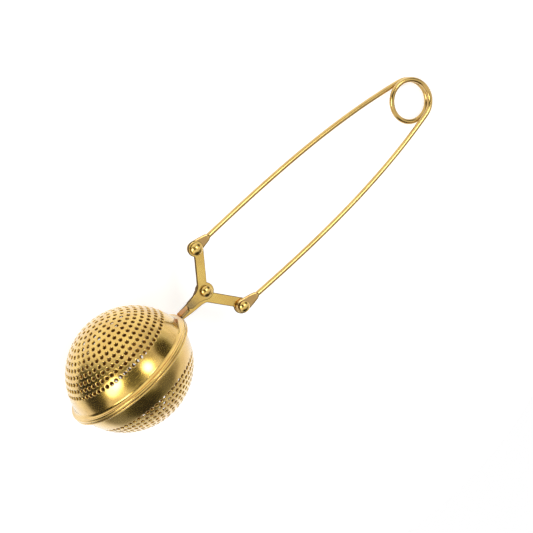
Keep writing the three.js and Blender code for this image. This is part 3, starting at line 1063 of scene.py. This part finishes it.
def gold(name, colour, roughness, grain, centre, depth, sheen, streak, heat_and_shade=(), coat=1.0):
    """Lacquered gold plating: cloudy tint, directional grain, pits, scratches and tinted patches: the
    welds' tint from heating, and painted shade.
    """
    material = bpy.data.materials.new(name)
    material.use_nodes = True
    tree = material.node_tree
    shader = tree.nodes["Principled BSDF"]
    middle = place_mm(tree, centre)
    lines = noise(tree, grain(tree, middle), 1.0, 4.0, 0.65)
    cloud = noise(tree, middle, CLOUD_SCALE, 3.0)
    pits = noise(tree, middle, PIT_SCALE, 3.0, 0.6)
    marks = []
    for turn, low in SCRATCHES:
        thread = noise(tree, mapped(tree, middle, SCRATCH_STRETCH, turn), 1.0, 1.0)
        marks.append(ramp(tree, thread, low, low + SCRATCH_WIDTH))
    scratch = math_of(tree, "MAXIMUM", *marks)

    deep = [c * f for c, f in zip(colour, DEEP)] + [1]
    light = [min(1.0, c * f) for c, f in zip(colour, LIGHT)] + [1]
    tint = mixed(tree, ramp(tree, cloud, 0.32, 0.7), deep, light)
    tint = mixed(tree, ramp(tree, lines, 0.35, 0.75, 0.0, 2.2 * streak), tint, deep)
    # each patch mixes its colour in towards its point: the welds' tint from heating, the eyes'
    # browning, and on the upper neck painted shade
    for point, reach, amount, patch_colour in heat_and_shade:
        gap = vector_of(tree, "DISTANCE", place_mm(tree, point))["Value"]
        uneven = math_of(tree, "ADD", gap, ramp(tree, cloud, 0.2, 0.8, -0.2 * reach, 0.2 * reach))
        tint = mixed(tree, ramp(tree, uneven, 0.35 * reach, reach, amount, 0.0), tint, patch_colour)

    rough = ramp(tree, lines, 0.3, 0.8, -0.4 * streak, 0.7 * streak)
    rough = math_of(tree, "ADD", rough, roughness)
    rough = math_of(tree, "ADD", rough, ramp(tree, cloud, 0.3, 0.7, -0.02, 0.04))
    rough = math_of(tree, "ADD", rough, ramp(tree, pits, 0.45, 0.75, 0.0, PIT_ROUGHNESS))
    rough = math_of(tree, "ADD", rough, ramp(tree, scratch, 0.0, 1.0, 0.0, SCRATCH_ROUGHNESS))

    height = math_of(tree, "MULTIPLY", lines, depth)
    height = math_of(tree, "ADD", height, ramp(tree, pits, 0.35, 0.8, 0.0, PIT_HEIGHT))
    height = math_of(tree, "SUBTRACT", height, ramp(tree, scratch, 0.0, 1.0, 0.0, SCRATCH_DEPTH))
    bump = add_node(tree, "ShaderNodeBump", {"Height": height, "Strength": 1.0, "Distance": MM})
    for socket, value in (("Base Color", tint), ("Roughness", rough), ("Normal", bump.outputs[0])):
        tree.links.new(value, shader.inputs[socket])

    shader.inputs["Metallic"].default_value = 1.0
    shader.inputs["Coat Weight"].default_value = coat
    shader.inputs["Coat Roughness"].default_value = COAT_ROUGHNESS
    shader.inputs["Coat IOR"].default_value = COAT_IOR
    shader.inputs["Sheen Weight"].default_value = sheen
    shader.inputs["Sheen Roughness"].default_value = SHEEN_ROUGHNESS
    shader.inputs["Sheen Tint"].default_value = SHEEN_TINT
    return material


ORIGIN = (0.0, 0.0, 0.0)
BALL_CENTRE = (BALL_CENTRE_X, 0.0, 0.0)
STRAW = (0.44, 0.21, 0.04, 1)
RUST = (0.42, 0.17, 0.028, 1)
OLIVE = (0.20, 0.13, 0.035, 1)
BRONZE = (0.42, 0.22, 0.06, 1)
# place, reach, strength and colour of each tinted patch, in the tool's millimetres: the welds' tint
# from heating, and on the upper neck painted shade
TAB_WELDS = (((-12.6, 1.0, 2.4), 3.6, 0.5, STRAW), ((-12.8, -1.6, -2.4), 3.6, 0.5, STRAW))
TAB_HEAT = (((-12.7, 1.2, 2.6), 5.4, 0.95, RUST), ((-12.9, -1.8, -2.6), 5.4, 0.95, RUST))
# the olive patch on the upper plate's neck, by the cut, is painted shade: a darker reflection painted
# into the plate's colour
NECK_SHADE_AND_WELD_HEAT = (((-10.5, -0.2, 1.0), 7.0, 0.78, OLIVE), *TAB_WELDS)
# the flattened ends are a little browner than the round wire
EYE_BROWNING = (((9.6, 12.5, -0.7), 5.5, 0.55, BRONZE), ((8.8, -13.9, 0.7), 5.5, 0.55, BRONZE))
ball_gold = gold(
    "ball_gold", (0.71, 0.455, 0.08), 0.2, spun, BALL_CENTRE, depth=0.0002, sheen=0.3, streak=0.02,
    heat_and_shade=TAB_WELDS,
)
# the ball's inside: its dark brown colour is painted shade of the hollow, under a rougher finish
# without the coat
ball_lining_shade = gold(
    "ball_lining_shade", (0.42, 0.21, 0.042), 0.42, spun, BALL_CENTRE, depth=0.002, sheen=0.0, streak=0.1,
    coat=0.0,
)
PLATE_LOOK = ((0.77, 0.51, 0.09), 0.25, along_x, ORIGIN, 0.0004, 0.1, 0.07)
plate_gold = gold("plate_gold", *PLATE_LOOK, heat_and_shade=NECK_SHADE_AND_WELD_HEAT)
lower_plate_gold = gold("plate_gold_lower", *PLATE_LOOK, heat_and_shade=TAB_WELDS)
wire_gold = gold(
    "wire_gold", (0.6, 0.39, 0.083), 0.14, drawn_lines, ORIGIN, depth=0.0006, sheen=0.1, streak=0.1,
    heat_and_shade=EYE_BROWNING,
)
# dark brown for the plates' cut edges and the rivets' steep sides: partly the sheared metal's own
# colour, partly painted shade for the gaps and contact lines
dark_edge_and_shade = gold(
    "dark_edge_and_shade", (0.14, 0.08, 0.022), 0.5, along_x, ORIGIN, depth=0.002, sheen=0.0, streak=0.1,
    coat=0.0,
)
weld_gold = gold(
    "weld_gold", (0.7, 0.44, 0.085), 0.3, along_x, ORIGIN, depth=0.002, sheen=0.0, streak=0.1,
    heat_and_shade=TAB_HEAT, coat=0.0,
)
rivet_gold = gold(
    "rivet_gold", (0.75, 0.49, 0.095), 0.19, along_x, ORIGIN, depth=0.0003, sheen=0.25, streak=0.03,
)

# ---------------- pieces
upper_ball = half_ball("half_ball_upper", bead_profile(), 1.0, ball_gold, 0.0)
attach(upper_ball, "upper_half")
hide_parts("upper_basket")

lower_ball = half_ball("half_ball_lower", lip_profile(), -1.0, ball_gold, LOWER_TURN)
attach(lower_ball, "lower_half")
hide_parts("lower_basket")

upper_plate = lever("lever_upper", 1, plate_gold)
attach(upper_plate, "upper_half")
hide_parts("upper_lever")

lower_plate = lever("lever_lower", -1, lower_plate_gold)
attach(lower_plate, "lower_half")
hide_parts("lower_lever")

for side, body, words in ((1, "upper_half", "upper"), (-1, "lower_half", "lower")):
    for number, (height, size) in enumerate(WELDS):
        phase = WELD_PHASE * number + side
        nugget = weld(f"weld_{words}_{number + 1}", side, height, size, phase, weld_gold)
        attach(nugget, body)

pivot_pin = rivet(
    "rivet_pivot", (0.0, 0.0), rivet_gold, radius=1.95, head_base=1.3, head_top=3.1,
    tail_radius=1.65, tail_base=-1.3, tail_end=-2.4, shank=1.0,
)
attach(pivot_pin, "pivot")
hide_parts("pivot_rivet")

upper_pin = rivet(
    "rivet_upper", rivet_place(1), rivet_gold, radius=2.1, head_base=1.3, head_top=3.1,
    tail_radius=1.8, tail_base=-1.2, tail_end=-2.4, shank=1.0,
)
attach(upper_pin, "upper_half")
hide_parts("upper_rivet")

lower_pin = rivet(
    "rivet_lower", rivet_place(-1), rivet_gold, radius=1.9, head_base=1.2, head_top=3.1,
    tail_radius=1.6, tail_base=-1.3, tail_end=-2.4, shank=0.75,
)
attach(lower_pin, "lower_half")
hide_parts("lower_rivet")

wire = handle_wire("handle_wire", wire_gold)
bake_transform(wire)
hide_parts("handle_upper_leg", "handle_lower_leg")

# ---------------- floor, light and camera
FLOOR_RADIUS = 135 * MM
FLOOR_SIDES = 96
FLOOR_WHITE = (0.72, 0.72, 0.715, 1)
FLOOR_GREY = (0.705, 0.705, 0.7, 1)
FLOOR_GLOW = 0.58


def white_floor():
    """A matt white disc that glows enough to be as bright as the backdrop."""
    material = bpy.data.materials.new("floor_white")
    material.use_nodes = True
    tree = material.node_tree
    shader = tree.nodes["Principled BSDF"]
    shader.inputs["Roughness"].default_value = 0.9
    shader.inputs["Specular IOR Level"].default_value = 0.1
    shader.inputs["Emission Color"].default_value = (1, 1, 1, 1)
    shader.inputs["Emission Strength"].default_value = FLOOR_GLOW
    grain = noise(tree, place_mm(tree, ORIGIN), 0.9, 4.0, 0.6)
    tint = mixed(tree, ramp(tree, grain, 0.35, 0.7), FLOOR_WHITE, FLOOR_GREY)
    tree.links.new(tint, shader.inputs["Base Color"])
    inputs = {"Height": grain, "Strength": 0.3, "Distance": 0.02 * MM}
    bump = add_node(tree, "ShaderNodeBump", inputs)
    tree.links.new(bump.outputs[0], shader.inputs["Normal"])
    turn = [2 * math.pi * k / FLOOR_SIDES for k in range(FLOOR_SIDES)]
    mesh = bpy.data.meshes.new("floor")
    mesh.from_pydata(
        [(FLOOR_RADIUS * math.cos(a), FLOOR_RADIUS * math.sin(a), 0.0) for a in turn],
        [], [tuple(range(FLOOR_SIDES))],
    )
    mesh.materials.append(material)
    disc = bpy.data.objects.new("floor", mesh)
    bpy.context.scene.collection.objects.link(disc)
    return disc


floor = white_floor()

# lean from the pivot axis towards +X and +Y, inner and outer half angle in degrees, and brightness
GLOWS = (
    ((20, 100), 28.0, 58.0, 1.55),
    ((16, 12), 2.5, 11.0, 11.0),
    ((-55, 24), 6.0, 14.0, 6.0),
    ((-42, 28), 3.5, 12.5, 10.0),
)
SHADES = (
    ((-10, -95), 20.0, 45.0, 1.1),
    ((75, 30), 14.0, 36.0, 1.05),
    ((14, -24), 9.0, 22.0, 1.08),
    ((-30, 50), 10.0, 27.0, 0.5),
    ((-78, 58), 26.0, 42.0, 0.02),
    ((-96, 10), 13.0, 25.0, 0.06),
    ((26, 26), 6.0, 22.0, 0.75),
    ((-13, 20), 14.0, 28.0, 0.06),
    ((60, 6), 12.0, 22.0, 0.05),
    ((50, -46), 6.0, 20.0, 0.65),
    ((-74, -60), 14.0, 28.0, 0.3),
    ((20, -57), 10.0, 26.0, 0.2),
    ((-25, -58), 22.0, 34.0, 0.04),
)
SKY = 1.34


def leaning(lean):
    """The direction that leans so many degrees from the pivot axis, towards +X and +Y."""
    angle = math.radians(math.hypot(*lean))
    bearing = math.atan2(lean[1], lean[0])
    return turn_to_row((
        math.sin(angle) * math.cos(bearing),
        math.sin(angle) * math.sin(bearing),
        math.cos(angle),
    ))


def studio_light():
    """Soft patches of light and shade all round; the camera itself sees plain white."""
    world = bpy.data.worlds.new("studio")
    bpy.context.scene.world = world
    world.use_nodes = True
    tree = world.node_tree
    tree.nodes.clear()
    where = add_node(tree, "ShaderNodeTexCoord").outputs["Generated"]
    level = SKY
    for lean, inner, outer, bright in SHADES + GLOWS:
        near = vector_of(tree, "DOT_PRODUCT", where, leaning(lean).tolist())["Value"]
        within = ramp(tree, near, math.cos(math.radians(outer)), math.cos(math.radians(inner)))
        level = add_node(tree, "ShaderNodeMix", {
            "Factor": within, "A": level, "B": bright,
        }, data_type="FLOAT").outputs["Result"]
    lighting = add_node(tree, "ShaderNodeBackground", {"Strength": level})
    backdrop = add_node(tree, "ShaderNodeBackground", {"Color": (1, 1, 1, 1)})
    camera_ray = add_node(tree, "ShaderNodeLightPath").outputs["Is Camera Ray"]
    shown = add_node(tree, "ShaderNodeMixShader", {
        0: camera_ray, 1: lighting.outputs[0], 2: backdrop.outputs[0],
    })
    add_node(tree, "ShaderNodeOutputWorld", {"Surface": shown.outputs[0]})


studio_light()

# the camera's place and its right and down directions in the tool's frame
CAMERA_PLACE = (-103.0, 185.8, 478.4)
CAMERA_RIGHT = (0.6697, -0.6096, 0.4241)
CAMERA_DOWN = (-0.7047, -0.7018, 0.1041)
CAMERA_LENS = 106.41
camera_data = bpy.data.cameras.new("camera")
camera_data.lens = CAMERA_LENS
camera_data.sensor_width = 36.0
camera_data.clip_start = 0.01
camera_data.clip_end = 50.0
camera = bpy.data.objects.new("camera", camera_data)
bpy.context.scene.collection.objects.link(camera)
right = turn_to_row(CAMERA_RIGHT)
up = -turn_to_row(CAMERA_DOWN)
right /= np.linalg.norm(right)
back = np.cross(right, up)
back /= np.linalg.norm(back)
up = np.cross(back, right)
place = to_row(CAMERA_PLACE)
camera.matrix_world = Matrix([
    *((right[k], up[k], back[k], place[k]) for k in range(3)), (0, 0, 0, 1),
])
bpy.context.scene.camera = camera
bpy.context.scene.view_settings.view_transform = "Standard"
